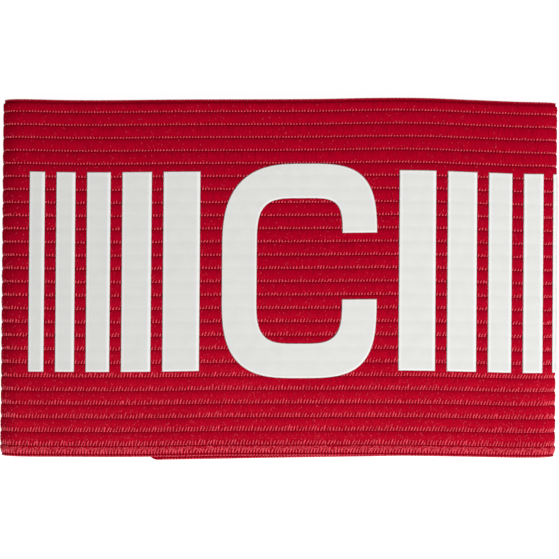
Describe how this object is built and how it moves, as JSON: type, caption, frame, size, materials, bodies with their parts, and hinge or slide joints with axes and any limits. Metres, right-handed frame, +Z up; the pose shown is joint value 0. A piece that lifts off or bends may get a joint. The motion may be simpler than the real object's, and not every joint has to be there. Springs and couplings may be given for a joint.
{
  "type": "captain armband",
  "caption": "Wide ribbed elastic armband, a closed loop lying flattened, with a printed letter C between plain bars and a hook-and-loop overlap at the back.",
  "frame": {"origin": "middle of the underside, on the surface that the armband lies on", "axes": "+X along the flattened loop from fold to fold, +Y across the strip to the top of the letter, +Z up out of the lettered front"},
  "size_m": [0.1306, 0.085, 0.0171],
  "materials": {
    "red_elastic": "matte woven elastic with pink yarn floats along the grooves",
    "white_film": "satin heat-pressed film",
    "red_nylon": "matte hook-and-loop pile"
  },
  "bodies": {
    "root": {"elastic_band": "red_elastic", "letter_c": "white_film", "bar_left_1": "white_film", "bar_left_2": "white_film", "bar_left_3": "white_film", "bar_left_4": "white_film", "bar_left_5": "white_film", "bar_right_1": "white_film", "bar_right_2": "white_film", "bar_right_3": "white_film", "bar_right_4": "white_film", "bar_right_5": "white_film", "closure_patch": "red_nylon"}
  },
  "joints": []
}
